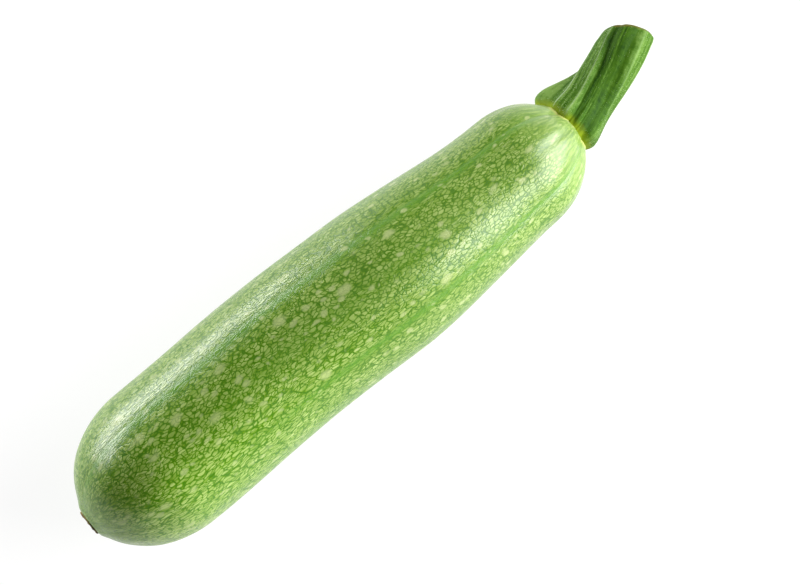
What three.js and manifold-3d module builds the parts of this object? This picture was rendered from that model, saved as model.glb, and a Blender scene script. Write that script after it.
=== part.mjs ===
// A courgette lying on its side: the fruit, its cut stem and the corky scar the flower left.
// Millimetres, +Z up. The fruit runs along X, with its blossom end at -X and its stem at +X,
// and rests on a small flat spot of its belly at z = 0, under its weight.
//
// Three values place a point on a body: how far it is along the axis, its turn round the
// axis (0 degrees is the +Y side, 90 is the top) and its distance from the axis.

import * as THREE from 'three';
import { mergeVertices } from 'three/addons/utils/BufferGeometryUtils.js';
import Module from 'manifold-3d';

const wasm = await Module();
wasm.setup();

// Fruit, along its length
const FRUIT_LENGTH = 201.6;      // blossom pole to stem pole
const BELLY_RADIUS = 25.3;
const NECK_LOSS = 4.4;           // how much slimmer the neck is than the belly
const NECK_START = 116;          // where the belly begins to narrow, and where the neck is reached
const NECK_END = 178;
const BLOSSOM_CAP = 30.5;        // length of the round blossom end
const STEM_CAP = 25;             // length of the round shoulder at the stem
const BEND = 1.6;                // sideways bow of the belly
const BEND_AT = 82;
const BEND_REACH = 34;
const NECK_SHIFT = 1.2;          // the neck stands this far to the same side
const NECK_SHIFT_START = 150;
const NECK_SHIFT_END = 195;
const POLE_SHIFT = -0.8;         // the blossom pole sits a little off the middle
const POLE_SHIFT_REACH = 4;
const DROOP = 4;                 // drop of the axis, this far beyond its straight stretch
const DROOP_REACH = 100;
const STRAIGHT_START = 50;
const STRAIGHT_END = 120;
const FLAT_DEPTH = 0.5;          // how much of the belly's underside is pressed flat

// Fruit, round its girth
const GROOVES = [62, 139, 209, 281, 350];
const GROOVE_BODY = 0.25;        // groove depth along the belly
const GROOVE_NECK = 0.35;        // what the neck adds to it, between these two places
const GROOVE_NECK_SPAN = [120, 175];
const GROOVE_SHOULDER = 1.1;     // what the shoulder at the stem adds
const GROOVE_SHOULDER_SPAN = [168, 192];
const GROOVE_BLOSSOM = 0.25;     // what the blossom end has more, and where that has faded
const GROOVE_BLOSSOM_SPAN = [5, 35];
const GROOVE_SHARPNESS = 0.6;
const MINOR_GROOVE = 0.25;       // the groove along each rib's middle, beside a main one
const MINOR_WIDTH = 0.09;        // as a share of a rib
const GROOVES_FADE = 12;         // grooves run out towards the poles, from this radius inwards

// Stem
const STEM_ROOT = 194;           // where its root begins inside the fruit
const STEM_LENGTH = 45.5;
const STEM_SHIFT = 0.7;          // its axis stands this far to the +Y side of the bow's start
const STEM_HEADING = 11;         // degrees towards +Y at the root
const FIRST_BEND = 5;            // more of it, gained between these two places along the stem
const FIRST_BEND_SPAN = [3, 22];
const SECOND_BEND = 7;
const SECOND_BEND_SPAN = [24, 41];
const STEM_DROP = 3;             // slope downwards at the root, level at the tip
const CUT_SLANT = 17;            // the knife's slant at the tip, in degrees
const SLANT_START = 34;          // the stem is sheared to it from here on
const STEM_STEPS = 30;           // short straight steps that make the stem's curved axis

// The stem's ridges and the channels between them: turn at the root, turn at the tip, radius.
// The widest channel has a low rib along its middle.
const STEM_RIDGES = [
  { root: 0, tip: -50, radius: 8.7 },
  { root: 26, tip: -26, radius: 6.9 },
  { root: 48, tip: -4, radius: 8.7 },
  { root: 63, tip: 24, radius: 8.5 },
  { root: 78, tip: 46, radius: 8.9 },
  { root: 94, tip: 60, radius: 6.6 },
  { root: 105, tip: 71, radius: 7.3 },
  { root: 120, tip: 84, radius: 6.3 },
  { root: 156, tip: 127, radius: 8.9 },
  { root: 174, tip: 147, radius: 8.5 },
  { root: 194, tip: 170, radius: 8.6 },
  { root: 216, tip: 198, radius: 7 },
  { root: 240, tip: 228, radius: 8.6 },
  { root: 265, tip: 252, radius: 6.9 },
  { root: 292, tip: 276, radius: 8.6 },
  { root: 328, tip: 292, radius: 7 },
];
const RIDGE_TURN_START = 3;      // where along the stem its ridges begin and end their turn
const RIDGE_TURN_END = 45;
const FLARE = 1.9;               // how far the ridges' feet spread over the fruit
const FLARE_AT = 7;
const FLARE_REACH = 6.5;
const CHANNEL_FLARE = 0.3;       // the channels' share of that spread
const CHANNEL_RADIUS = 6.5;      // the radius of a channel, and of a ridge, for that share
const RIDGE_RADIUS = 8.8;
const BACK_LOBE = 4.6;           // the first ridge's foot spreads this much further
const BACK_LOBE_AT = 12;
const BACK_LOBE_REACH = 11.5;
const BACK_LOBE_WIDTH = 27;      // in degrees round the stem
const ROOT_SHARE = 0.72;         // the root inside the fruit is this share of the stem's radius
const ROOT_END = 7.5;
const TIP_LOSS = 0.5;            // the ridges lose this much radius towards the cut
const TIP_START = 36;
const RIM_ROUND = 1.9;           // length and share of the radius that the cut's rounded rim takes
const RIM_SHARE = 0.1;
const CUT_RINGS = [0.8, 0.4, 0]; // rings on the cut face, as shares of its radius
const CUT_DISH = 0.8;            // how far the cut face sinks inside its rim
const DISH_RIM = 0.6;            // the sinking takes this share of the radius

// Blossom scar
const SCAR_RADIUS = 4.7;
const SCAR_PROUD = 0.9;          // how far its rim stands out from the skin
const SCAR_MIDDLE = 0.6;         // and its middle
const SCAR_DEPTH = 2.5;          // how deep its root is cut from
const SCAR_EDGE = 0.35;          // rounding of its rim
const SCAR_DIP = [0.45, 0.75];   // its middle ends and its rim begins at these shares of its radius

const GAP = 0.3;                 // left between pieces that touch

// Fineness of the facets
const FRUIT_SIDES = 64;
const STEM_SIDES = 72;
const SCAR_SIDES = 32;
const CAP_STEPS = 10;
const BODY_STEPS = 26;
const WELD = 1e-4;

const { clamp, degToRad, euclideanModulo, lerp, smoothstep } = THREE.MathUtils;

const bell = (x, middle, reach) => Math.exp(-(((x - middle) / reach) ** 2));

// Joins the seam and the poles of a lathed surface, and drops the triangles that vanish there.
function closed(geometry) {
  geometry.deleteAttribute('normal');
  geometry.deleteAttribute('uv');
  const welded = mergeVertices(geometry, WELD);
  const corners = welded.index.array;
  const kept = [];
  for (let i = 0; i < corners.length; i += 3) {
    const [a, b, c] = corners.slice(i, i + 3);
    if (a !== b && b !== c && c !== a) kept.push(a, b, c);
  }
  welded.setIndex(kept);
  return welded;
}

// Lathes a profile of (radius, distance along) points and sends each point to place(along, turn, radius).
function lathed(profile, sides, place) {
  const geometry = new THREE.LatheGeometry(profile, sides);
  const position = geometry.attributes.position;
  const point = new THREE.Vector3();
  for (let i = 0; i < position.count; i++) {
    point.fromBufferAttribute(position, i);
    const turn = Math.atan2(point.x, point.z);
    const radius = Math.hypot(point.x, point.z);
    position.setXYZ(i, ...place(point.y, turn, radius));
  }
  return closed(geometry);
}

function solid(geometry) {
  return new wasm.Manifold(new wasm.Mesh({
    numProp: 3,
    vertProperties: new Float32Array(geometry.attributes.position.array),
    triVerts: new Uint32Array(geometry.index.array),
  }));
}

function geometryOf(manifold) {
  const mesh = manifold.getMesh();
  const geometry = new THREE.BufferGeometry();
  geometry.setAttribute('position', new THREE.BufferAttribute(mesh.vertProperties, 3));
  geometry.setIndex(new THREE.BufferAttribute(mesh.triVerts, 1));
  return geometry;
}

// Fruit

function fruitRadius(s) {
  const neck = BELLY_RADIUS - NECK_LOSS * smoothstep(s, NECK_START, NECK_END);
  const toBlossom = clamp(1 - s / BLOSSOM_CAP, 0, 1);
  const toStem = clamp(1 - (FRUIT_LENGTH - s) / STEM_CAP, 0, 1);
  return neck * Math.sqrt((1 - toBlossom ** 2) * (1 - toStem ** 2));
}

function fruitSide(s) {
  return BEND * bell(s, BEND_AT, BEND_REACH)
    + NECK_SHIFT * smoothstep(s, NECK_SHIFT_START, NECK_SHIFT_END)
    + POLE_SHIFT * bell(s, 0, POLE_SHIFT_REACH);
}

function fruitDrop(s) {
  const beyond = s - clamp(s, STRAIGHT_START, STRAIGHT_END);
  return -DROOP * (beyond / DROOP_REACH) ** 2;
}

// How far round a rib a turn lies, from 0 at one groove to 1 at the next.
function ribShare(turn) {
  const degrees = euclideanModulo(turn - GROOVES[0], 360);
  const starts = GROOVES.map((groove) => euclideanModulo(groove - GROOVES[0], 360));
  const i = starts.findLastIndex((start) => start <= degrees);
  const end = starts[i + 1] ?? 360;
  return (degrees - starts[i]) / (end - starts[i]);
}

function grooveDepth(s, degrees) {
  const depth = GROOVE_BODY
    + GROOVE_NECK * smoothstep(s, ...GROOVE_NECK_SPAN)
    + GROOVE_SHOULDER * smoothstep(s, ...GROOVE_SHOULDER_SPAN)
    + GROOVE_BLOSSOM * (1 - smoothstep(s, ...GROOVE_BLOSSOM_SPAN));
  const share = ribShare(degrees);
  const main = 1 - Math.sin(Math.PI * share) ** GROOVE_SHARPNESS;
  return depth * (main + MINOR_GROOVE * bell(share, 0.5, MINOR_WIDTH));
}

function fruitPoint(s, turn, radius) {
  const fade = clamp(radius / GROOVES_FADE, 0, 1);
  const r = radius - fade * grooveDepth(s, THREE.MathUtils.radToDeg(turn));
  return [s, fruitSide(s) + r * Math.cos(turn), fruitDrop(s) + r * Math.sin(turn)];
}

// The stations along the fruit: close together on the round ends, even along the body.
function fruitStations() {
  const stations = [];
  for (let i = 0; i <= CAP_STEPS; i++) {
    stations.push(BLOSSOM_CAP * (1 - Math.cos((i / CAP_STEPS) * Math.PI / 2)));
  }
  const bodyEnd = FRUIT_LENGTH - STEM_CAP;
  for (let i = 1; i < BODY_STEPS; i++) stations.push(lerp(BLOSSOM_CAP, bodyEnd, i / BODY_STEPS));
  for (let i = 0; i <= CAP_STEPS; i++) {
    stations.push(bodyEnd + STEM_CAP * Math.sin((i / CAP_STEPS) * Math.PI / 2));
  }
  return stations;
}

// The fruit's skin, or with a margin the room that it and a gap take.
function fruitSkin(margin) {
  const profile = fruitStations().map((s) => new THREE.Vector2(fruitRadius(s), s));
  profile[0].x = 0;
  profile.at(-1).x = 0;
  const stretch = 1 + (2 * margin) / FRUIT_LENGTH;
  return lathed(profile, FRUIT_SIDES, (s, turn, radius) => {
    const grown = radius > 0 ? radius + margin : 0;
    const [x, y, z] = fruitPoint(s, turn, grown);
    return [(x - FRUIT_LENGTH / 2) * stretch + FRUIT_LENGTH / 2, y, z];
  });
}

// Stem

function stemFrame(l) {
  const heading = degToRad(STEM_HEADING
    + FIRST_BEND * smoothstep(l, ...FIRST_BEND_SPAN)
    + SECOND_BEND * smoothstep(l, ...SECOND_BEND_SPAN));
  const slope = degToRad(-STEM_DROP * (1 - smoothstep(l, 0, STEM_LENGTH)));
  const ahead = new THREE.Vector3(
    Math.cos(slope) * Math.cos(heading),
    Math.cos(slope) * Math.sin(heading),
    Math.sin(slope),
  );
  const side = new THREE.Vector3(-Math.sin(heading), Math.cos(heading), 0);
  return { ahead, side, up: ahead.clone().cross(side) };
}

// The stem's axis: a chain of short steps, each in its own heading.
function stemAxis() {
  const points = [new THREE.Vector3(STEM_ROOT, STEM_SHIFT, fruitDrop(STEM_ROOT))];
  const step = STEM_LENGTH / STEM_STEPS;
  for (let i = 0; i < STEM_STEPS; i++) {
    points.push(points[i].clone().addScaledVector(stemFrame((i + 0.5) * step).ahead, step));
  }
  return new THREE.CatmullRomCurve3(points);
}

// Radius of the ridged section: eased from each ridge to the next channel and back.
function ridgeRadius(l, degrees) {
  const turned = smoothstep(l, RIDGE_TURN_START, RIDGE_TURN_END);
  const marks = STEM_RIDGES.map(({ root, tip, radius }) => ({ at: lerp(root, tip, turned), radius }));
  const first = marks[0].at;
  const offset = euclideanModulo(degrees - first, 360);
  const i = marks.findLastIndex((mark) => mark.at - first <= offset);
  const next = marks[i + 1] ?? { at: first + 360, radius: marks[0].radius };
  const share = (offset - (marks[i].at - first)) / (next.at - marks[i].at);
  return lerp(marks[i].radius, next.radius, (1 - Math.cos(Math.PI * share)) / 2);
}

function stemRadius(l, degrees) {
  const turned = smoothstep(l, RIDGE_TURN_START, RIDGE_TURN_END);
  const backLobe = lerp(STEM_RIDGES[0].root, STEM_RIDGES[0].tip, turned);
  const fromLobe = euclideanModulo(degrees - backLobe + 180, 360) - 180;
  const section = ridgeRadius(l, degrees);
  const onRidge = clamp((section - CHANNEL_RADIUS) / (RIDGE_RADIUS - CHANNEL_RADIUS), 0, 1);
  const radius = section
    + FLARE * lerp(CHANNEL_FLARE, 1, onRidge) * bell(l, FLARE_AT, FLARE_REACH)
    + BACK_LOBE * bell(l, BACK_LOBE_AT, BACK_LOBE_REACH) * bell(fromLobe, 0, BACK_LOBE_WIDTH)
    - TIP_LOSS * smoothstep(l, TIP_START, STEM_LENGTH);
  const root = lerp(ROOT_SHARE, 1, smoothstep(l, 0, ROOT_END));
  const rim = 1 - RIM_SHARE * smoothstep(l, STEM_LENGTH - RIM_ROUND, STEM_LENGTH) ** 2;
  return radius * root * rim;
}

// The profile's radius is a share of the section's: 1 on the side, and less on the two ends.
function stemSkin() {
  const axis = stemAxis();
  const profile = [new THREE.Vector2(0, 0)];
  for (let i = 0; i <= STEM_STEPS; i++) profile.push(new THREE.Vector2(1, i * STEM_LENGTH / STEM_STEPS));
  for (const share of CUT_RINGS) profile.push(new THREE.Vector2(share, STEM_LENGTH));
  return lathed(profile, STEM_SIDES, (l, turn, share) => {
    const { ahead, side, up } = stemFrame(l);
    const r = share * stemRadius(l, THREE.MathUtils.radToDeg(turn));
    const slant = Math.tan(degToRad(CUT_SLANT)) * smoothstep(l, SLANT_START, STEM_LENGTH);
    const dish = l === STEM_LENGTH ? CUT_DISH * smoothstep(1 - share, 0, DISH_RIM) : 0;
    const point = axis.getPoint(l / STEM_LENGTH)
      .addScaledVector(ahead, -slant * r * Math.cos(turn) - dish)
      .addScaledVector(side, r * Math.cos(turn))
      .addScaledVector(up, r * Math.sin(turn));
    return point.toArray();
  });
}

// Blossom scar

// A low disc over the blossom pole, with a raised rim. Its root lies inside the fruit.
function scarSkin() {
  const profile = [
    new THREE.Vector2(0, -SCAR_MIDDLE),
    new THREE.Vector2(SCAR_DIP[0] * SCAR_RADIUS, -SCAR_MIDDLE),
    new THREE.Vector2(SCAR_DIP[1] * SCAR_RADIUS, -SCAR_PROUD),
    new THREE.Vector2(SCAR_RADIUS - SCAR_EDGE, -SCAR_PROUD),
    new THREE.Vector2(SCAR_RADIUS, SCAR_EDGE - SCAR_PROUD),
    new THREE.Vector2(SCAR_RADIUS, SCAR_DEPTH),
    new THREE.Vector2(0, SCAR_DEPTH),
  ];
  return lathed(profile, SCAR_SIDES, (x, turn, radius) => [
    x,
    fruitSide(0) + radius * Math.cos(turn),
    fruitDrop(0) + radius * Math.sin(turn),
  ]);
}

// Assembly

const skin = fruitSkin(0);
skin.computeBoundingBox();
const floor = skin.boundingBox.min.z + FLAT_DEPTH;
const below = new THREE.BoxGeometry(2 * FRUIT_LENGTH, 2 * FRUIT_LENGTH, FRUIT_LENGTH).toNonIndexed();
below.translate(0, 0, floor - FRUIT_LENGTH / 2);
const room = solid(fruitSkin(GAP));

const pieces = {
  fruit: {
    geometry: geometryOf(solid(skin).subtract(solid(closed(below)))),
    material: new THREE.MeshStandardMaterial({ color: 0x8fb552, roughness: 0.35, metalness: 0 }),
  },
  stem: {
    geometry: geometryOf(solid(stemSkin()).subtract(room)),
    material: new THREE.MeshStandardMaterial({ color: 0x4b7d2c, roughness: 0.6, metalness: 0 }),
  },
  blossom_scar: {
    geometry: geometryOf(solid(scarSkin()).subtract(room)),
    material: new THREE.MeshStandardMaterial({ color: 0xc9a86a, roughness: 0.85, metalness: 0 }),
  },
};

const courgette = new THREE.Group();
for (const [name, { geometry, material }] of Object.entries(pieces)) {
  const mesh = new THREE.Mesh(geometry, material);
  mesh.name = name;
  courgette.add(mesh);
}

// The origin goes to the middle of the part's box, on the surface that the part lies on.
const middle = new THREE.Box3().setFromObject(courgette).getCenter(new THREE.Vector3());
courgette.position.set(-middle.x, -middle.y, -floor);

export default courgette;
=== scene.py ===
"""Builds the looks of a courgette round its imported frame: skin, stem, hairs, blossom scar and stage."""

import math
import random

import bmesh
import bpy
from bpy.props import FloatProperty, FloatVectorProperty, IntProperty, PointerProperty
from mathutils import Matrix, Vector, noise
from mathutils.bvhtree import BVHTree


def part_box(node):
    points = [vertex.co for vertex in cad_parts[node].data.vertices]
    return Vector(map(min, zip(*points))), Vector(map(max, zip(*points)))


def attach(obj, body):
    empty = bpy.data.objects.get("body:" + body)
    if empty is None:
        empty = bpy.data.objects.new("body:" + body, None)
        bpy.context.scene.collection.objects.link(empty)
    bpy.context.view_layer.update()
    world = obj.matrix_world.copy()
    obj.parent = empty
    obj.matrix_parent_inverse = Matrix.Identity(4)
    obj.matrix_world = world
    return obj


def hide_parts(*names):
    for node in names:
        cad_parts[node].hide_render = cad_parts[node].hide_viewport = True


bl_info = {
    "name": "Courgette",
    "version": (1, 0, 0),
    "blender": (4, 5, 0),
    "location": "3D View > Sidebar > Courgette",
    "description": "Builds a pale speckled courgette with its stem, its hairs and its blossom scar",
    "category": "Object",
}

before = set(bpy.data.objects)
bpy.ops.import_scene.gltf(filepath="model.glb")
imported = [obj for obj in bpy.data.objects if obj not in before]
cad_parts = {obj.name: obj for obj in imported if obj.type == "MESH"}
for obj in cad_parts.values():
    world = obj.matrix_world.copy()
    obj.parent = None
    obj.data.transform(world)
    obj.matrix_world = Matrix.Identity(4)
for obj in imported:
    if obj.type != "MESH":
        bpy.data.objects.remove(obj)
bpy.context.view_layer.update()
MM = 0.001                       # one millimetre in metres

# Fruit, along its length, in millimetres. s is the place along the axis, from the blossom pole.
FRUIT_LENGTH = 201.6
BELLY_RADIUS = 25.3
NECK_LOSS = 4.4
NECK_SPAN = (116, 178)
BLOSSOM_CAP = 30.5
STEM_CAP = 25
BEND = 1.6
BEND_AT = 82
BEND_REACH = 34
NECK_SHIFT = 1.2
NECK_SHIFT_SPAN = (150, 195)
POLE_SHIFT = -0.8
POLE_SHIFT_REACH = 4
DROOP = 4
DROOP_REACH = 100
STRAIGHT = (50, 120)
FLAT_DEPTH = 0.5

# Fruit, round its girth, in degrees from the +Y side over the top
GROOVES = (62, 139, 209, 281, 350)
GROOVE_BODY = 0.25
GROOVE_NECK = 0.35
GROOVE_NECK_SPAN = (120, 175)
GROOVE_SHOULDER = 1.1
GROOVE_SHOULDER_SPAN = (168, 192)
GROOVE_BLOSSOM = 0.25
GROOVE_BLOSSOM_SPAN = (5, 35)
GROOVE_SHARPNESS = 0.6
MINOR_GROOVE = 0.25
MINOR_WIDTH = 0.09
GROOVES_FADE = 12
SKIN_WAVE = 0.16                 # gentle unevenness of the skin, and its spacing along and across
SKIN_WAVE_SPACING = (20, 7, 7)
LIP = 0.35                       # the skin swells this much, this far from the stem's foot
LIP_AT = 0.4
LIP_REACH = 1.3
LIP_ZONE = 15                    # no point of the skin further from the axis is near the stem
YELLOW = 0.9                     # the skin is yellow where it swells, and fades to green along this span
YELLOW_SPAN = (0.4, 2.6)

# Dark stripes beside the grooves: turn in degrees, strength, half width in mm, and span along s.
# They fade in and out over STRIPE_FADES, in mm, at the two ends of their spans.
STRIPE_FADES = (60, 30)
STRIPES = (
    (65, 1, 1.6, (-20, 230)),
    (98, 0.25, 3.2, (30, 165)),
    (138, 1, 1.3, (45, 230)),
    (174, 0.4, 2.6, (30, 170)),
    (207, 1, 1.3, (-20, 230)),
    (245, 0.3, 2.8, (30, 165)),
    (280, 1, 1.3, (-20, 230)),
    (316, 0.35, 2.6, (30, 170)),
    (351, 1, 1.3, (-20, 230)),
    (26, 0.35, 2.4, (60, 180)),
)

# Where the skin's cells are long and thin: strength, and widths as shares of a rib or spans in mm
LONG_AT_GROOVES = 0.85
LONG_AT_GROOVES_WIDTH = 0.2
LONG_MID_RIB = 0.5
LONG_MID_RIB_WIDTH = 0.13
LONG_FLANK = 0.45                # on one flank of the blossom half, between turns in degrees
LONG_FLANK_START = (95, 125)
LONG_FLANK_END = (200, 230)
LONG_FLANK_SPAN = (100, 150)
LONG_BLOSSOM = (4, 22)
LONG_NECK = (182, 198)
STREAKED_BLOSSOM = 0.5           # at both ends streaks take the net's place, in part or wholly
STREAKED_BLOSSOM_SPAN = (1, 8)
STREAKED_NECK_SPAN = (178, 196)
CAP_SPREAD = 0.25                # a low power keeps the cells whole on the round ends

# Pattern of the skin: spacings in mm, and how much it is drawn out along the fruit
PUSH = 2.5                       # long waves push the pattern about by up to this much
PUSH_SPACING = 6
PATCH_SPACING = 2.5              # patches where the cells are all long or all round
ROUND_CELL = 2                   # cells are this many times longer than wide
LONG_CELL = 3.6
STREAK = 0.12                    # share of the way along that counts: the smaller, the longer
STREAK_SPACING = 1.1
BROAD_STREAK = 0.14
BROAD_SPACING = 3.2
DIMPLE_SPACING = 2.6
WAX_SPACING = 2.6
BLOTCH = 0.62
SKIN_RELIEF = 0.06               # height of the net's cells and of the dimples

# Stem, in millimetres and degrees. l is the place along its axis, from its root inside the fruit.
STEM_ROOT = 194
STEM_LENGTH = 45.5
STEM_SHIFT = 0.7
STEM_HEADING = 11
FIRST_BEND = 5
FIRST_BEND_SPAN = (3, 22)
SECOND_BEND = 7
SECOND_BEND_SPAN = (24, 41)
STEM_DROP = 3
CUT_SLANT = 17
SLANT_START = 34
STEM_STEPS = 30
STEM_START = 1.5                 # the mesh starts here, inside the fruit, with a ring every STEM_RING
STEM_RING = 0.32
CUT_RINGS = (0.96, 0.9, 0.82, 0.72, 0.6, 0.45, 0.3, 0.15, 0)
STEM_RIDGES = (                  # turn at the root, turn at the tip, radius
    (0, -50, 8.7), (26, -26, 6.9), (48, -4, 8.7), (63, 24, 8.5),
    (78, 46, 8.9), (94, 60, 6.6), (105, 71, 7.3), (120, 84, 6.3),
    (156, 127, 8.9), (174, 147, 8.5), (194, 170, 8.6), (216, 198, 7),
    (240, 228, 8.6), (265, 252, 6.9), (292, 276, 8.6), (328, 292, 7),
)
RIDGE_TURN_SPAN = (3, 45)
FLARE = 1.9
FLARE_AT = 7
FLARE_REACH = 6.5
CHANNEL_FLARE = 0.3
CHANNEL_RADIUS = 6.5
RIDGE_RADIUS = 8.8
BACK_LOBE = 4.6
BACK_LOBE_AT = 12
BACK_LOBE_REACH = 11.5
BACK_LOBE_WIDTH = 27
STEM_FOOT = 6                    # about where the stem leaves the fruit
ROOT_SHARE = 0.72
ROOT_END = 7.5
TIP_LOSS = 0.5
TIP_START = 36
RIM_ROUND = 1.9
RIM_SHARE = 0.1
CUT_DISH = 0.8
DISH_RIM = 0.6
# The pale crest lines are partly the whitish colour of the hairs and partly a painted highlight along each
# crest.
CRESTS = {                       # ridges with a fine pale line along them, and its strength
    0: 0.6, 2: 1, 4: 0.4, 8: 0.15, 10: 0.5, 12: 0.5, 14: 0.5,
}
CREST_HEIGHT = 0.1
CREST_WIDTH = 0.35
CREST_END = 3                    # the crests run out this far before the cut
LINE_WIDTH = 0.17
TIP_FILL = 1.3                   # one broad channel runs out towards the tip, and ends as a ridge
TIP_FILL_RIDGE = 7
TIP_FILL_WIDTH = 22
TIP_FILL_SPAN = (24, 40)
PANEL = 0.6                      # beside it the stem is as pale as this share of a ridge
PANEL_WIDTH = 17
# Painted light: the back lobe is coloured paler than the ridges, as if lit brighter.
LOBE_PAINTED_LIGHT = 1.4                  # the back lobe is paler than the ridges, over this width in degrees
LOBE_PAINTED_LIGHT_WIDTH = 40
DRIED_TURN = 55                  # the cut's rim has dried brown, most on this side of the stem
DRIED_WIDTH = 40
DRIED_LEAST = 0.6
DRIED_DEPTH = 1.6
CHANNEL_FLOOR = 7.5              # radius below which the channels are shallower, and by what share
CHANNEL_SOFTNESS = 0.72
CHANNEL_FILL = 1.6               # the channels run out towards the foot
FILL_REACH = 13
FILLET = 3.2                     # the skin curls in round the cut
FILLET_DEPTH = 0.9
STRIATION = 0.1                  # height and spacing of the fine lines that run along the stem
STRIATION_SPACING = (0.9, 0.9, 14)
STEM_MAP = 8                     # radius of the cylinder that the stem's patterns are laid out on
STEM_RELIEF = 0.12               # height of its fibres and warts

# Hairs on the stem, in millimetres
HAIR_START = 5
HAIR_GAP = 1                     # none is nearer to the cut or to the skin
HAIR_SHORTEST = 0.35             # as a share of the longest
HAIR_LEAN = 0.35
HAIR_ROOT = 0.08                 # how deep a hair goes into the stem
HAIR_STRAY = 0.15                # share of hairs that stand in the channels
HAIR_RADII = (0.028, 0.006)

# Blossom scar, in millimetres. Shares are of its radius.
SCAR_RADIUS = 4.5
SCAR_PROUD = 0.6
SCAR_MIDDLE = 0.35
SCAR_TOP = 4                     # radius of its top, inside the rounded edge
SCAR_RINGS = 14
SCAR_SIDES = 120
SCAR_COLLAR = 0.65               # the skin swells this much round the scar
SCAR_COLLAR_AT = 5.3
SCAR_COLLAR_REACH = 2
SCAR_COLLAR_END = 15             # the stem's end of the fruit, beyond this s, has no such collar
SCAR_SINK = 1.2                  # how deep its edge goes into the skin
SCAR_EDGE = 0.35
SCAR_DIP = (0.45, 0.75)
SCAR_RIPPLE = 0.12               # unevenness of its top, and its spacing
SCAR_RIPPLE_SPACING = (0.9, 0.9, 1)
SCAR_WOBBLE = 0.035              # its edge strays from a circle by this share
SCAR_WOBBLE_SPACING = (1.1, 1.1, 1)
SCAR_WOBBLE_RING = 3
SCAR_ROUND = 0.6                 # inside this share its rings are true circles
SCAR_BROWN = (0.8, 0.97)
SCAR_GROWTH = (                  # darker rings: strength, place, width
    (0.5, 0.36, 0.06), (0.4, 0, 0.12),
)
SCAR_BURNS = 11                  # dark points round its rim, where the flower's veins ended
BURN_RADIUS = 0.55
BURN_HEIGHT = 0.14

# Studio, in metres and degrees
FLOOR_RADIUS = 3
LIT_POINT = (0, 0, 0.025)
LIGHTS = (                       # name, azimuth, elevation, distance, size, radiance
    ("left_softbox", 201, 12, 0.8, (0.8, 0.3), 13),
    ("right_softbox", 58, 24, 0.75, (0.9, 0.6), 10),
)
CAMERA_TARGET = (1.3, -7.0, 24.85)   # in millimetres
SENSOR_WIDTH = 36                # in millimetres

# Settings that many shader nodes share
TIMES = {"operation": "MULTIPLY"}
TIMES_PLUS = {"operation": "MULTIPLY_ADD"}
EASED = {"interpolation_type": "SMOOTHSTEP"}
COLOURS = {"data_type": "RGBA"}
TINT = {"data_type": "RGBA", "blend_type": "MULTIPLY"}


def smooth(x, low, high):
    """Eases from 0 at low to 1 at high."""
    share = min(max((x - low) / (high - low), 0), 1)
    return share * share * (3 - 2 * share)


def bell(x, middle, reach):
    """A bell curve, 1 at its middle."""
    return math.exp(-(((x - middle) / reach) ** 2))


def mix(a, b, share):
    """The value that lies this share of the way from a to b."""
    return a + (b - a) * share


def waves(point, spacing, seed):
    """Smooth noise from -1 to 1, with its own spacing in mm along each axis."""
    return noise.noise(Vector([v / gap for v, gap in zip(point, spacing)]) + Vector((seed, seed, seed)))


def ring_point(radius, angle):
    """The two coordinates of a point on a ring, at this angle in radians."""
    return radius * math.cos(angle), radius * math.sin(angle)


def turn_between(turn, other):
    """The shortest turn between two directions, in degrees."""
    return abs((turn - other + 180) % 360 - 180)


def linear(colour):
    """An sRGB hex colour as linear red, green, blue and alpha."""
    parts = [int(colour[i:i + 2], 16) / 255 for i in (1, 3, 5)]
    return [c / 12.92 if c <= 0.04045 else ((c + 0.055) / 1.055) ** 2.4 for c in parts] + [1]


def fruit_radius(s):
    neck = BELLY_RADIUS - NECK_LOSS * smooth(s, *NECK_SPAN)
    to_blossom = min(max(1 - s / BLOSSOM_CAP, 0), 1)
    to_stem = min(max(1 - (FRUIT_LENGTH - s) / STEM_CAP, 0), 1)
    return neck * math.sqrt((1 - to_blossom ** 2) * (1 - to_stem ** 2))


def fruit_side(s):
    bow = BEND * bell(s, BEND_AT, BEND_REACH)
    return bow + NECK_SHIFT * smooth(s, *NECK_SHIFT_SPAN) + POLE_SHIFT * bell(s, 0, POLE_SHIFT_REACH)


def fruit_drop(s):
    beyond = s - min(max(s, STRAIGHT[0]), STRAIGHT[1])
    return -DROOP * (beyond / DROOP_REACH) ** 2


def rib_share(turn):
    """How far round a rib a turn lies, from 0 at one groove to 1 at the next."""
    degrees = (turn - GROOVES[0]) % 360
    starts = [(groove - GROOVES[0]) % 360 for groove in GROOVES] + [360]
    i = max(k for k in range(len(GROOVES)) if starts[k] <= degrees)
    return (degrees - starts[i]) / (starts[i + 1] - starts[i])


def groove_depth(s, turn):
    depth = GROOVE_BODY + GROOVE_NECK * smooth(s, *GROOVE_NECK_SPAN)
    depth += GROOVE_SHOULDER * smooth(s, *GROOVE_SHOULDER_SPAN)
    depth += GROOVE_BLOSSOM * (1 - smooth(s, *GROOVE_BLOSSOM_SPAN))
    share = rib_share(turn)
    main = 1 - math.sin(math.pi * share) ** GROOVE_SHARPNESS
    return depth * (main + MINOR_GROOVE * bell(share, 0.5, MINOR_WIDTH))


def fruit_point(s, turn, radius, wave=0):
    fade = min(radius / GROOVES_FADE, 1)
    r = radius - fade * groove_depth(s, turn) + fade * wave
    across, up = ring_point(r, math.radians(turn))
    return Vector((s, fruit_side(s) + across, fruit_drop(s) + up))


def stem_frame(l):
    """The stem's directions at l: ahead along its axis, to its side, and up."""
    heading = STEM_HEADING + FIRST_BEND * smooth(l, *FIRST_BEND_SPAN)
    heading = math.radians(heading + SECOND_BEND * smooth(l, *SECOND_BEND_SPAN))
    slope = math.radians(-STEM_DROP * (1 - smooth(l, 0, STEM_LENGTH)))
    flat = math.cos(slope)
    ahead = Vector((flat * math.cos(heading), flat * math.sin(heading), math.sin(slope)))
    side = Vector((-math.sin(heading), math.cos(heading), 0))
    return ahead, side, ahead.cross(side)


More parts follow.
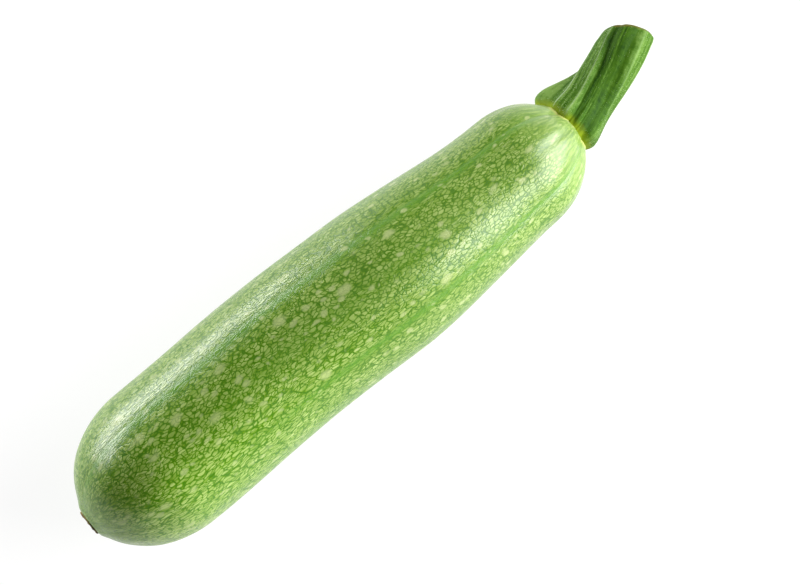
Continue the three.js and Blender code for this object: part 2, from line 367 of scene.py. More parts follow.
def stem_axis():
    """The points of the stem's axis, one short step after another."""
    points = [Vector((STEM_ROOT, STEM_SHIFT, fruit_drop(STEM_ROOT)))]
    step = STEM_LENGTH / STEM_STEPS
    for i in range(STEM_STEPS):
        points.append(points[i] + step * stem_frame((i + 0.5) * step)[0])
    return points


STEM_AXIS = stem_axis()


def stem_centre(l):
    place = min(max(l / STEM_LENGTH, 0), 1) * STEM_STEPS
    i = min(int(place), STEM_STEPS - 1)
    return STEM_AXIS[i].lerp(STEM_AXIS[i + 1], place - i)


def ridge_place(l, turn):
    """Which ridge a turn follows at l: the index of the ridge before it, and the share to the next."""
    turned = smooth(l, *RIDGE_TURN_SPAN)
    marks = [mix(root, tip, turned) for root, tip, _ in STEM_RIDGES]
    marks.append(marks[0] + 360)
    offset = (turn - marks[0]) % 360 + marks[0]
    i = max(k for k in range(len(STEM_RIDGES)) if marks[k] <= offset)
    return i, (offset - marks[i]) / (marks[i + 1] - marks[i])


def ridge_turn(l, i, share):
    """The turn, in degrees, of the line that lies this share of the way from ridge i to the next."""
    turned = smooth(l, *RIDGE_TURN_SPAN)
    following = (i + 1) % len(STEM_RIDGES)
    here = mix(STEM_RIDGES[i][0], STEM_RIDGES[i][1], turned)
    there = mix(STEM_RIDGES[following][0], STEM_RIDGES[following][1], turned)
    return here + share * ((there - here) % 360)


def stem_radius(l, i, share):
    """The stem's radius at l on that line, and how much of a ridge it is there, from 0 to 1, which also sets
    the painted shade of the channels.
    """
    radius, following = STEM_RIDGES[i][2], STEM_RIDGES[(i + 1) % len(STEM_RIDGES)][2]
    section = mix(radius, following, (1 - math.cos(math.pi * share)) / 2)
    on_ridge = min(max((section - CHANNEL_RADIUS) / (RIDGE_RADIUS - CHANNEL_RADIUS), 0), 1)
    lobe = ridge_turn(l, 0, 0)
    turn = ridge_turn(l, i, share)
    r = section + FLARE * mix(CHANNEL_FLARE, 1, on_ridge) * bell(l, FLARE_AT, FLARE_REACH)
    bulge = BACK_LOBE * bell(l, BACK_LOBE_AT, BACK_LOBE_REACH)
    r += bulge * bell(turn_between(turn, lobe), 0, BACK_LOBE_WIDTH)
    r -= TIP_LOSS * smooth(l, TIP_START, STEM_LENGTH)
    r *= mix(ROOT_SHARE, 1, smooth(l, 0, ROOT_END))
    r *= 1 - RIM_SHARE * smooth(l, STEM_LENGTH - RIM_ROUND, STEM_LENGTH) ** 2
    return r, on_ridge


def stem_point(l, turn, r, dish=0):
    ahead, side, up = stem_frame(l)
    across, above = ring_point(r, math.radians(turn))
    slant = math.tan(math.radians(CUT_SLANT)) * smooth(l, SLANT_START, STEM_LENGTH)
    return stem_centre(l) - ahead * (slant * across + dish) + side * across + up * above


def from_stem(point):
    """How far a point near the stem's foot lies outside the stem's side, in mm. Negative inside."""
    ahead, side, up = stem_frame(STEM_FOOT)
    l = max((point - STEM_AXIS[0]).dot(ahead), 0)
    away = point - stem_centre(l)
    turn = math.degrees(math.atan2(away.dot(up), away.dot(side)))
    return math.hypot(away.dot(up), away.dot(side)) - stem_radius(l, *ridge_place(l, turn))[0]


def wrapping(rows, columns):
    """A grid to be wrapped round an axis, and the row and column of each of its points.

    Its last column meets its first again, and rows on the axis shrink to one point: closed() joins them.
    """
    bm = bmesh.new()
    bmesh.ops.create_grid(bm, x_segments=columns, y_segments=rows, size=0.5)
    places = [(round((v.co.y + 0.5) * rows), round((v.co.x + 0.5) * columns) % columns) for v in bm.verts]
    return bm, places


def closed(bm):
    """Joins the seam and the poles of a wrapped grid."""
    bmesh.ops.remove_doubles(bm, verts=bm.verts, dist=1e-4)


def finished(bm, name, material, offset):
    """Moves a mesh from its own millimetres to its place in the frame, and makes it an object."""
    for vert in bm.verts:
        vert.co = (vert.co + offset) * MM
    bmesh.ops.recalc_face_normals(bm, faces=bm.faces)
    mesh = bpy.data.meshes.new(name)
    bm.to_mesh(mesh)
    bm.free()
    mesh.shade_smooth()
    mesh.materials.append(material)
    piece = bpy.data.objects.new(name, mesh)
    bpy.context.scene.collection.objects.link(piece)
    return piece


def fruit_offset(steps=120):
    """From the fruit's own millimetres to the frame's, by the CAD fruit's ends and sides."""
    low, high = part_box("fruit")
    stations = [FRUIT_LENGTH * i / steps for i in range(steps + 1)]
    turns = range(0, 360, 3)
    sides = [fruit_point(s, turn, fruit_radius(s)) for s in stations for turn in turns]
    middle = (min(p.y for p in sides) + max(p.y for p in sides)) / 2
    floor = min(p.z for p in sides) + FLAT_DEPTH
    return Vector((low.x / MM, (low.y + high.y) / 2 / MM - middle, low.z / MM - floor)), floor


OFFSET, FLOOR = fruit_offset()


def add_node(tree, kind, settings=None, inputs=None):
    """Adds a shader node with its settings. An input is a value, or the output that it is linked to."""
    node = tree.nodes.new("ShaderNode" + kind)
    for name, value in (settings or {}).items():
        setattr(node, name, value)
    for name, value in (inputs or {}).items():
        if isinstance(value, bpy.types.NodeSocket):
            tree.links.new(value, node.inputs[name])
        else:
            node.inputs[name].default_value = value
    return node


def new_material(name):
    """A node material that holds nothing but its output."""
    material = bpy.data.materials.new(name)
    material.use_nodes = True
    tree = material.node_tree
    tree.nodes.clear()
    return material, tree, add_node(tree, "OutputMaterial")


class SkinSettings(bpy.types.PropertyGroup):
    """Sizes and colours of the skin."""

    cell: FloatProperty(name="Cell", description="Width of the pale cells of the skin's net",
                        default=1.02 * MM, unit="LENGTH")
    blotch: FloatProperty(name="Blotch spacing", description="Distance between the large pale blotches",
                          default=5.5 * MM, unit="LENGTH")
    sides: IntProperty(name="Sides", description="Facets round the fruit", default=256)
    body_step: FloatProperty(name="Step", description="Distance between the rings of the body",
                             default=0.8 * MM, unit="LENGTH")
    roughness: FloatProperty(name="Roughness", description="Roughness of the waxy skin",
                             default=0.22, subtype="FACTOR")
    dark: FloatVectorProperty(name="Net", description="Green of the net and the stripes",
                              default=linear("#3a6803"), size=4, subtype="COLOR")
    stripe: FloatVectorProperty(name="Stripes", description="Green of the stripes beside the grooves",
                                default=linear("#4c8210"), size=4, subtype="COLOR")
    middle: FloatVectorProperty(name="Skin", description="Green between the net and the cells",
                                default=linear("#608320"), size=4, subtype="COLOR")
    pale: FloatVectorProperty(name="Cells", description="Pale green of the cells",
                              default=linear("#94aa5e"), size=4, subtype="COLOR")
    palest: FloatVectorProperty(name="Blotches", description="Greyish green of the blotches",
                                default=linear("#a0ae72"), size=4, subtype="COLOR")


class StemSettings(bpy.types.PropertyGroup):
    """Sizes and colours of the stem."""

    columns: IntProperty(name="Columns", description="Facets from one ridge to the next", default=14)
    hairs: IntProperty(name="Hairs", description="Number of short hairs", default=2200)
    hair_length: FloatProperty(name="Hair", description="Length of the longest hairs",
                               default=0.65 * MM, unit="LENGTH")
    # The channels' darker green is painted shade.
    dark: FloatVectorProperty(name="Channels", description="Green of the channels",
                              default=linear("#1d3f04"), size=4, subtype="COLOR")
    middle: FloatVectorProperty(name="Ridges", description="Green of the ridges",
                                default=linear("#3a600c"), size=4, subtype="COLOR")
    pale: FloatVectorProperty(name="Streaks", description="Pale streaks along the ridges",
                              default=linear("#6b8c40"), size=4, subtype="COLOR")
    foot: FloatVectorProperty(name="Foot", description="Yellowish green where the stem meets the skin",
                              default=linear("#74880e"), size=4, subtype="COLOR")
    dried: FloatVectorProperty(name="Dried rim", description="Brown of the cut's dried rim",
                               default=linear("#5c5a24"), size=4, subtype="COLOR")


class ScarSettings(bpy.types.PropertyGroup):
    """Colours of the blossom scar."""

    cork: FloatVectorProperty(name="Cork", description="Straw colour of the scar",
                              default=linear("#dcc98a"), size=4, subtype="COLOR")
    rim: FloatVectorProperty(name="Rim", description="Brown of the scar's rim",
                             default=linear("#7c6a2e"), size=4, subtype="COLOR")
    burn: FloatVectorProperty(name="Points", description="Dark brown of the points round the rim",
                              default=linear("#3a2208"), size=4, subtype="COLOR")


class StageSettings(bpy.types.PropertyGroup):
    """Floor, lights and camera."""

    floor: FloatVectorProperty(name="Floor", description="Colour of the floor",
                               default=linear("#7c7c7c"), size=4, subtype="COLOR")
    elevation: FloatProperty(name="Elevation", description="How steeply the camera looks down",
                             default=math.radians(78), subtype="ANGLE")
    azimuth: FloatProperty(name="Azimuth", description="Turn of the camera round the courgette",
                           default=math.radians(-39.58), subtype="ANGLE")
    distance: FloatProperty(name="Distance", description="From the camera to the courgette",
                            default=0.6971, unit="LENGTH")
    lens: FloatProperty(name="Lens", description="Focal length in mm", default=97.7)


def net_of_cells(tree, vector, size, stretch):
    """A net of dark lines round pale cells of this size in mm, stretched along the fruit.

    Returns how pale the skin is there, from 0 on a line to 1 in the middle of the palest cells.
    """
    drawn_out = add_node(tree, "VectorMath", TIMES, {0: vector, 1: (1, 1, 1 / stretch)}).outputs[0]
    edges = add_node(tree, "TexVoronoi", {"feature": "DISTANCE_TO_EDGE"},
                     {"Vector": drawn_out, "Scale": 1 / size})
    middles = add_node(tree, "TexVoronoi", None, {"Vector": drawn_out, "Scale": 1 / size})
    inside = add_node(tree, "MapRange", EASED,
                      {"Value": edges.outputs["Distance"], "From Min": 0, "From Max": 0.15}).outputs[0]
    dot = add_node(tree, "MapRange", EASED,
                   {"Value": middles.outputs["Distance"], "From Min": 1.0, "From Max": 0.45,
                    "To Min": 0.25, "To Max": 1}).outputs[0]
    inside = add_node(tree, "Math", TIMES, {0: inside, 1: dot}).outputs[0]
    tone = add_node(tree, "SeparateColor", None, {0: middles.outputs["Color"]}).outputs[0]
    tone = add_node(tree, "MapRange", None, {"Value": tone, "To Min": 0.7, "To Max": 1}).outputs[0]
    return add_node(tree, "Math", TIMES, {0: inside, 1: tone}).outputs[0]


def pale_spots(tree, vector, spacing, share, largest):
    """Soft spots at random: in this share of the places, up to this radius as a share of the spacing."""
    places = add_node(tree, "TexVoronoi", None, {"Vector": vector, "Scale": 1 / spacing, "Randomness": 0.9})
    luck = add_node(tree, "SeparateColor", None, {0: places.outputs["Color"]}).outputs[1]
    reach = add_node(tree, "MapRange", None,
                     {"Value": luck, "From Min": 1 - share, "To Min": -0.2, "To Max": largest}).outputs[0]
    edge = add_node(tree, "Math", {"operation": "SUBTRACT"},
                    {0: reach, 1: places.outputs["Distance"]}).outputs[0]
    return add_node(tree, "MapRange", EASED, {"Value": edge, "From Min": -0.08, "From Max": 0.14}).outputs[0]


def skin_speckle(tree, cell, place, pushed, shaken, streaks, streaky):
    """The skin's net of cells, and the streaks that take its place at both ends.

    Returns how pale the skin is there, and how far streaks have taken the net's place.
    """
    rounder = net_of_cells(tree, shaken, 0.97 * cell, ROUND_CELL)
    longer = net_of_cells(tree, pushed, 0.8 * cell, LONG_CELL)
    patch = add_node(tree, "TexNoise", None, {"Vector": place, "Scale": 1 / PATCH_SPACING, "Detail": 1})
    patch = add_node(tree, "Math", {"operation": "ADD"}, {0: patch.outputs["Fac"], 1: streaky}).outputs[0]
    drawn = add_node(tree, "MapRange", EASED,
                     {"Value": patch, "From Min": 0.94, "From Max": 1.06}).outputs[0]
    net = add_node(tree, "Mix", None, {"Factor": drawn, "A": rounder, "B": longer}).outputs[0]
    pale = add_node(tree, "MapRange", None, {"Value": streaks, "To Min": 0.12, "To Max": 0.82}).outputs[0]
    rows = add_node(tree, "MapRange", None, {"Value": streaks, "To Min": 0.88, "To Max": 1.12}).outputs[0]
    net = add_node(tree, "Math", TIMES, {0: net, 1: rows}).outputs[0]
    ends = add_node(tree, "Attribute", {"attribute_name": "skin_ends"}).outputs["Fac"]
    return add_node(tree, "Mix", None, {"Factor": ends, "A": net, "B": pale}).outputs[0], ends


def skin_tones(tree, body, across, along, ends, blotched):
    """The skin's colour with painted fill light on its lower, -Y side, and towards the neck and at the
    blossom end.
    """
    # Painted fill light: the lower, -Y side of the body is coloured paler, as if lit from below.
    painted_fill_light = add_node(tree, "MapRange", EASED,
                        {"Value": across, "From Min": 4, "From Max": -18}).outputs[0]
    painted_fill_light = add_node(tree, "Math", TIMES, {0: painted_fill_light, 1: body}).outputs[0]
    paler = add_node(tree, "Mix", TINT,
                     {"Factor": painted_fill_light, 6: blotched, 7: (1.52, 1.54, 1.5, 1)}).outputs[2]
    greyer = add_node(tree, "MapRange", None,
                      {"Value": body, "From Min": 0.35, "From Max": 0.8, "To Min": 0.08, "To Max": 0})
    faded = add_node(tree, "Math", TIMES_PLUS, {0: ends, 1: 0.25, 2: greyer.outputs[0]}).outputs[0]
    softer = add_node(tree, "Mix", COLOURS, {"Factor": faded, 6: paler, 7: linear("#94a670")}).outputs[2]
    fuller = add_node(tree, "MapRange", EASED, {"Value": along, "From Min": 22, "From Max": 0}).outputs[0]
    return add_node(tree, "Mix", TINT, {"Factor": fuller, 6: softer, 7: (0.85, 1, 0.5, 1)}).outputs[2]


def skin_material(settings):
    """Epidermis of a summer squash: a dark green net round pale cells under a thin natural wax.

    The wax is smooth, so the skin is glossy, and the net's cells stand up a few hundredths of a mm,
    which breaks the highlights up.
    """
    material, tree, output = new_material("courgette_skin_waxed")
    cell = settings.cell / MM
    blotch = settings.blotch / MM
    place = add_node(tree, "Attribute", {"attribute_name": "skin_place"}).outputs["Vector"]
    bands = add_node(tree, "Attribute", {"attribute_name": "skin_bands"}).outputs["Vector"]
    stripe, streaky, yellow = add_node(tree, "SeparateXYZ", None, {0: bands}).outputs
    across, _, along = add_node(tree, "SeparateXYZ", None, {0: place}).outputs

    # Uneven growth pushes the pattern about, in long waves and in short ones
    push = add_node(tree, "TexNoise", None, {"Vector": place, "Scale": 1 / PUSH_SPACING, "Detail": 1})
    pushed = add_node(tree, "VectorMath", TIMES_PLUS,
                      {0: push.outputs["Color"], 1: (PUSH, PUSH, PUSH), 2: place}).outputs[0]
    jitter = add_node(tree, "TexNoise", None, {"Vector": place, "Scale": 1 / (2.2 * cell), "Detail": 1})
    shaken = add_node(tree, "VectorMath", TIMES_PLUS,
                      {0: jitter.outputs["Color"], 1: [0.55 * cell] * 3, 2: pushed}).outputs[0]

    # The net, and fine streaks that line its cells up in rows
    flowing = add_node(tree, "VectorMath", TIMES, {0: pushed, 1: (1, 1, STREAK)}).outputs[0]
    streaks = add_node(tree, "TexNoise", None,
                       {"Vector": flowing, "Scale": 1 / STREAK_SPACING, "Detail": 3, "Roughness": 0.55})
    streaks = add_node(tree, "MapRange", EASED,
                       {"Value": streaks.outputs["Fac"], "From Min": 0.36, "From Max": 0.62}).outputs[0]
    speckle, ends = skin_speckle(tree, cell, place, pushed, shaken, streaks, streaky)

    # Broad light and dark streaks, and the dark stripes
    broad_at = add_node(tree, "VectorMath", TIMES, {0: pushed, 1: (1, 1, BROAD_STREAK)}).outputs[0]
    broad = add_node(tree, "TexNoise", None,
                     {"Vector": broad_at, "Scale": 1 / BROAD_SPACING, "Detail": 4, "Roughness": 0.6})
    broad = add_node(tree, "MapRange", None,
                     {"Value": broad.outputs["Fac"], "From Min": 0.3, "From Max": 0.7,
                      "To Min": -0.14, "To Max": 0.04}).outputs[0]
    toned = add_node(tree, "Math", TIMES_PLUS, {0: speckle, 1: 0.9, 2: broad}).outputs[0]
    lighter = add_node(tree, "Math", TIMES_PLUS, {0: stripe, 1: -0.35, 2: 1}).outputs[0]
    shaded = add_node(tree, "Math", TIMES, {0: toned, 1: lighter}).outputs[0]
    ramp = add_node(tree, "ValToRGB", None, {0: shaded})
    stops = ramp.color_ramp.elements
    stops[0].position, stops[0].color = 0, settings.dark
    stops[1].position, stops[1].color = 0.95, settings.pale
    stops.new(0.42).color = settings.middle
    green = add_node(tree, "Math", TIMES, {0: stripe, 1: 0.6}).outputs[0]
    striped = add_node(tree, "Mix", COLOURS,
                       {"Factor": green, 6: ramp.outputs["Color"], 7: settings.stripe}).outputs[2]

    # Pale spots and blotches, a little longer than wide, and clearest towards the neck
    body = add_node(tree, "MapRange", EASED,
                    {"Value": along, "From Min": 10, "From Max": 170,
                     "To Min": 1, "To Max": 0.35}).outputs[0]
    clear = add_node(tree, "MapRange", None,
                     {"Value": body, "From Min": 0.35, "From Max": 0.8,
                      "To Min": 0.85, "To Max": 0.55}).outputs[0]
    spread = add_node(tree, "VectorMath", TIMES, {0: shaken, 1: (1, 1, BLOTCH)}).outputs[0]
    blotches = pale_spots(tree, spread, blotch, 0.8, 0.32)
    spots = pale_spots(tree, spread, 0.5 * blotch, 0.8, 0.4)
    pale = add_node(tree, "Math", {"operation": "MAXIMUM"}, {0: blotches, 1: spots}).outputs[0]
    faint = add_node(tree, "Math", TIMES, {0: pale, 1: clear}).outputs[0]
    blotched = add_node(tree, "Mix", COLOURS, {"Factor": faint, 6: striped, 7: settings.palest}).outputs[2]
    toned = skin_tones(tree, body, across, along, ends, blotched)
    coloured = add_node(tree, "Mix", COLOURS, {"Factor": yellow, 6: toned, 7: linear("#b4b868")}).outputs[2]

    # Wax: the cells stand up a little, and the gloss is patchy and duller in the net's lines
    dimples = add_node(tree, "TexNoise", None, {"Vector": flowing, "Scale": 1 / DIMPLE_SPACING, "Detail": 2})
    dimples = add_node(tree, "Math", TIMES, {0: dimples.outputs["Fac"], 1: 1.2}).outputs[0]
    relief = add_node(tree, "Math", TIMES_PLUS, {0: speckle, 1: 0.5, 2: dimples}).outputs[0]
    bump = add_node(tree, "Bump", None, {"Height": relief, "Strength": 1, "Distance": SKIN_RELIEF * MM})
    grain = add_node(tree, "TexNoise", None,
                     {"Vector": broad_at, "Scale": 1 / WAX_SPACING, "Detail": 5, "Roughness": 0.65})
    rough = add_node(tree, "MapRange", None,
                     {"Value": grain.outputs["Fac"], "From Min": 0.3, "From Max": 0.7,
                      "To Min": settings.roughness - 0.08, "To Max": settings.roughness + 0.12}).outputs[0]
    sunken = add_node(tree, "MapRange", None,
                      {"Value": speckle, "From Max": 0.6, "To Min": 0.08, "To Max": 0})
    rough = add_node(tree, "Math", {"operation": "ADD"}, {0: rough, 1: sunken.outputs[0]}).outputs[0]
    shader = add_node(tree, "BsdfPrincipled", None,
                      {"Base Color": coloured, "Roughness": rough, "IOR": 1.5, "Normal": bump.outputs[0]})
    tree.links.new(shader.outputs[0], output.inputs["Surface"])
    return material


def stem_material(settings):
    """Peduncle of a summer squash: matte, fibrous green with paler fibres along its ridges, and painted
    shade darkening its channels.

    The cut end is the pale pith, with a rim that has dried brown.
    """
    material, tree, output = new_material("peduncle_green")
    place = add_node(tree, "Attribute", {"attribute_name": "stem_place"}).outputs["Vector"]
    bands = add_node(tree, "Attribute", {"attribute_name": "stem_bands"}).outputs["Vector"]
    ridge, foot, cut = add_node(tree, "SeparateXYZ", None, {0: bands}).outputs

    long_at = add_node(tree, "VectorMath", TIMES, {0: place, 1: (1, 1, 0.06)}).outputs[0]
    fibres = add_node(tree, "TexNoise", None,
                      {"Vector": long_at, "Scale": 1 / 1.3, "Detail": 4, "Roughness": 0.6})
    tone = add_node(tree, "MapRange", None,
                    {"Value": fibres.outputs["Fac"], "From Min": 0.32, "From Max": 0.68,
                     "To Min": -0.25, "To Max": 0.3}).outputs[0]
    mottle = add_node(tree, "TexNoise", None,
                      {"Vector": place, "Scale": 1 / 1.2, "Detail": 4, "Roughness": 0.65}).outputs["Fac"]
    tone = add_node(tree, "Math", TIMES_PLUS, {0: mottle, 1: 0.74, 2: tone}).outputs[0]
    # Painted shade: where the ridge share is low, in the channels, the green is darker.
    green = add_node(tree, "Math", TIMES_PLUS, {0: ridge, 1: 0.3, 2: tone}).outputs[0]
    ramp = add_node(tree, "ValToRGB", None, {0: green})
    stops = ramp.color_ramp.elements
    stops[0].position, stops[0].color = 0.2, settings.dark
    stops[1].position, stops[1].color = 1, settings.pale
    stops.new(0.6).color = settings.middle
    # Painted highlight: a pale line along some ridge crests, partly the colour of their hairs.
    crest = add_node(tree, "Attribute", {"attribute_name": "stem_crest_painted_highlight"}).outputs["Fac"]
    crest_highlighted = add_node(tree, "Mix", COLOURS,
                     {"Factor": crest, 6: ramp.outputs["Color"], 7: linear("#a8bc94")}).outputs[2]

    # Yellow stains at the foot
    stain = add_node(tree, "Math", TIMES_PLUS, {0: mottle, 1: 2.4, 2: foot}).outputs[0]
    near_foot = add_node(tree, "MapRange", EASED,
                         {"Value": stain, "From Min": 1.2, "From Max": 4.2,
                          "To Min": 1, "To Max": 0}).outputs[0]
    footed = add_node(tree, "Mix", COLOURS, {"Factor": near_foot, 6: crest_highlighted, 7: settings.foot}).outputs[2]

    # The dried rim of the cut, and the pith inside it
    dried = add_node(tree, "Math", TIMES_PLUS, {0: mottle, 1: 0.5, 2: cut}).outputs[0]
    rim = add_node(tree, "MapRange", EASED, {"Value": dried, "From Min": 0.55, "From Max": 1.0}).outputs[0]
    rimmed = add_node(tree, "Mix", COLOURS, {"Factor": rim, 6: footed, 7: settings.dried}).outputs[2]
    inner = add_node(tree, "MapRange", EASED, {"Value": cut, "From Min": 1.15, "From Max": 1.4}).outputs[0]
    pith = add_node(tree, "Mix", COLOURS,
                    {"Factor": mottle, 6: linear("#b4b884"), 7: linear("#869a54")}).outputs[2]
    coloured = add_node(tree, "Mix", COLOURS, {"Factor": inner, 6: rimmed, 7: pith}).outputs[2]

    grain = add_node(tree, "TexNoise", None, {"Vector": long_at, "Scale": 1 / 0.35, "Detail": 3})
    relief = add_node(tree, "Math", {"operation": "ADD"}, {0: grain.outputs["Fac"], 1: mottle}).outputs[0]
    bump = add_node(tree, "Bump", None, {"Height": relief, "Strength": 1, "Distance": STEM_RELIEF * MM})
    shader = add_node(tree, "BsdfPrincipled", None,
                      {"Base Color": coloured, "Roughness": 0.6, "IOR": 1.4,
                       "Specular IOR Level": 0.12, "Normal": bump.outputs[0]})
    tree.links.new(shader.outputs[0], output.inputs["Surface"])
    return material


def hair_material():
    """Plant hairs: clear cells full of air, which look whitish green."""
    material, tree, output = new_material("plant_hair")
    shader = add_node(tree, "BsdfPrincipled", None,
                      {"Base Color": linear("#cfe0b4"), "Roughness": 0.5, "IOR": 1.4})
    tree.links.new(shader.outputs[0], output.inputs["Surface"])
    return material


def cork_material(settings):
    """Wound cork: dry, matte and straw coloured, burnt brown along its rim."""
    material, tree, output = new_material("wound_cork")
    place = add_node(tree, "TexCoord").outputs["Object"]
    bands = add_node(tree, "Attribute", {"attribute_name": "scar_bands"}).outputs["Vector"]
    rim, burn, ring = add_node(tree, "SeparateXYZ", None, {0: bands}).outputs
    grain = add_node(tree, "TexNoise", None,
                     {"Vector": place, "Scale": 1 / (0.8 * MM), "Detail": 5, "Roughness": 0.65})
    grain = grain.outputs["Fac"]
    fleck = add_node(tree, "MapRange", None, {"Value": grain, "From Min": 0.35, "From Max": 0.65}).outputs[0]
    coats = ((fleck, linear("#c9b06a")), (ring, linear("#b79a52")),
             (rim, settings.rim), (burn, settings.burn))
    colour = settings.cork
    for share, coat in coats:
        colour = add_node(tree, "Mix", COLOURS, {"Factor": share, 6: colour, 7: coat}).outputs[2]
    bump = add_node(tree, "Bump", None, {"Height": grain, "Strength": 1, "Distance": 0.15 * MM})
    shader = add_node(tree, "BsdfPrincipled", None,
                      {"Base Color": colour, "Roughness": 0.8, "Normal": bump.outputs[0]})
    tree.links.new(shader.outputs[0], output.inputs["Surface"])
    return material


def fruit_stations(step):
    """Places along the fruit: close together on its round ends, even along its body."""
    cap_steps = 84
    quarter = [math.radians(90) * i / cap_steps for i in range(cap_steps + 1)]
    body = round((FRUIT_LENGTH - STEM_CAP - BLOSSOM_CAP) / step)
    blossom = [BLOSSOM_CAP * (1 - math.cos(a)) for a in quarter]
    middle = [mix(BLOSSOM_CAP, FRUIT_LENGTH - STEM_CAP, i / body) for i in range(1, body)]
    stem = [FRUIT_LENGTH - STEM_CAP * (1 - math.sin(a)) for a in quarter]
    return blossom + middle + stem


def stripes_at(s):
    """The strength of each stripe at s."""
    fade_in, fade_out = STRIPE_FADES
    return [strength * smooth(s, start, start + fade_in) * (1 - smooth(s, end - fade_out, end))
            for _, strength, _, (start, end) in STRIPES]


def stripes_round(turn):
    """How near each stripe's middle a turn lies, from 0 to 1."""
    return [bell(math.radians(turn_between(turn, at)) * BELLY_RADIUS, 0, width)
            for at, _, width, _ in STRIPES]


def long_cells(s, turn, share):
    """How far the skin's cells are long and thin at this place, from 0 to 1."""
    long = LONG_AT_GROOVES * bell(min(share, 1 - share), 0, LONG_AT_GROOVES_WIDTH)
    long += LONG_MID_RIB * bell(share, 0.5, LONG_MID_RIB_WIDTH)
    flank = smooth(turn, *LONG_FLANK_START) * (1 - smooth(turn, *LONG_FLANK_END))
    long += LONG_FLANK * flank * (1 - smooth(s, *LONG_FLANK_SPAN))
    return min(max(long, 1 - smooth(s, *LONG_BLOSSOM), smooth(s, *LONG_NECK)), 1)


def streaked_end(s):
    """How far streaks take the place of the net at s, from 0 to 1."""
    return max(STREAKED_BLOSSOM * (1 - smooth(s, *STREAKED_BLOSSOM_SPAN)), smooth(s, *STREAKED_NECK_SPAN))


class COURGETTE_OT_fruit(bpy.types.Operator):
    """Builds the fruit's skin with its grooves, its net and its stripes"""

    bl_idname = "courgette.fruit"
    bl_label = "Fruit"

    def execute(self, context):
        settings = context.scene.courgette_skin
        stations = fruit_stations(settings.body_step / MM)
        profile = [(s, fruit_radius(s)) for s in stations]
        profile[0] = (0, 0)
        profile[-1] = (FRUIT_LENGTH, 0)
        travelled = [0]
        for before, here in zip(profile, profile[1:]):
            travelled.append(travelled[-1] + math.dist(before, here))
        along = [stripes_at(s) for s in stations]
        turns = [360 * column / settings.sides for column in range(settings.sides)]
        round_it = [stripes_round(turn) for turn in turns]
        shares = [rib_share(turn) for turn in turns]

        bm, places = wrapping(len(profile) - 1, settings.sides)
        place = bm.verts.layers.float_vector.new("skin_place")
        bands = bm.verts.layers.float_vector.new("skin_bands")
        ends = bm.verts.layers.float.new("skin_ends")
        for vert, (row, column) in zip(bm.verts, places):
            s, radius = profile[row]
            turn, share = turns[column], shares[column]
            angle = math.radians(turn)
            wave = waves((s, *ring_point(radius, angle)), SKIN_WAVE_SPACING, seed=3)
            vert.co = fruit_point(s, turn, radius, SKIN_WAVE * wave)
            if s < SCAR_COLLAR_END:
                vert.co.x -= SCAR_COLLAR * bell(radius, SCAR_COLLAR_AT, SCAR_COLLAR_REACH)
            yellow = 0
            if s > STEM_ROOT and radius < LIP_ZONE:
                collar = from_stem(vert.co)
                vert.co.x += LIP * bell(collar, LIP_AT, LIP_REACH)
                yellow = YELLOW * (1 - smooth(collar, *YELLOW_SPAN))
            vert.co.z = max(vert.co.z, FLOOR)
            reach = BELLY_RADIUS * (radius / BELLY_RADIUS) ** CAP_SPREAD
            vert[place] = (*ring_point(reach, angle), travelled[row])
            stripe = max(a * b for a, b in zip(along[row], round_it[column]))
            vert[bands] = (stripe, long_cells(s, turn, share), yellow)
            vert[ends] = streaked_end(s)
        closed(bm)
        fruit = finished(bm, "fruit_skin", skin_material(settings), OFFSET)
        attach(fruit, "root")
        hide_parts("fruit")
        return {"FINISHED"}


def stem_line(column, columns):
    """The ridge and the share to the next one on which a column of the stem's mesh lies."""
    i, rest = divmod(column, columns)
    return i, rest / columns


def stem_surface(l, i, share):
    """The radius of the finished stem, how much of a ridge it is there, and how near a pale crest line,
    which is partly the hairs' colour and partly a painted highlight.
    """
    r, on_ridge = stem_radius(l, i, share)
    # The channels are made shallower here, but their ridge share still comes from the deeper section, so
    # their painted shade stays.
    r += max(CHANNEL_FLOOR - r, 0) * CHANNEL_SOFTNESS
    r += CHANNEL_FILL * (1 - on_ridge) * bell(l, STEM_FOOT, FILL_REACH)
    beside = turn_between(ridge_turn(l, i, share), ridge_turn(l, TIP_FILL_RIDGE, 0))
    r += TIP_FILL * smooth(l, *TIP_FILL_SPAN) * bell(beside, 0, TIP_FILL_WIDTH)
    # Beside the filled channel the painted shade of the channels is lighter.
    panel = turn_between(ridge_turn(l, i, share), ridge_turn(l, TIP_FILL_RIDGE, 0.5))
    on_ridge = max(on_ridge, PANEL * bell(panel, 0, PANEL_WIDTH))
    curl = min(max((l - STEM_LENGTH + FILLET) / FILLET, 0), 1)
    r -= FILLET_DEPTH * (1 - math.sqrt(1 - curl ** 2))
    line = 0
    gap = (ridge_turn(l, i, 1) - ridge_turn(l, i, 0)) % 360
    for crest, part in ((i, share), ((i + 1) % len(STEM_RIDGES), 1 - share)):
        if crest in CRESTS:
            away = math.radians(gap * part) * r
            fade = 1 - smooth(l, STEM_LENGTH - CREST_END, STEM_LENGTH)
            r += CREST_HEIGHT * fade * bell(away, 0, CREST_WIDTH)
            line = max(line, CRESTS[crest] * bell(away, 0, LINE_WIDTH))
    angle = math.tau * (i + share) / len(STEM_RIDGES)
    r += STRIATION * waves((*ring_point(STEM_MAP, angle), l), STRIATION_SPACING, seed=11)
    return r, on_ridge, line


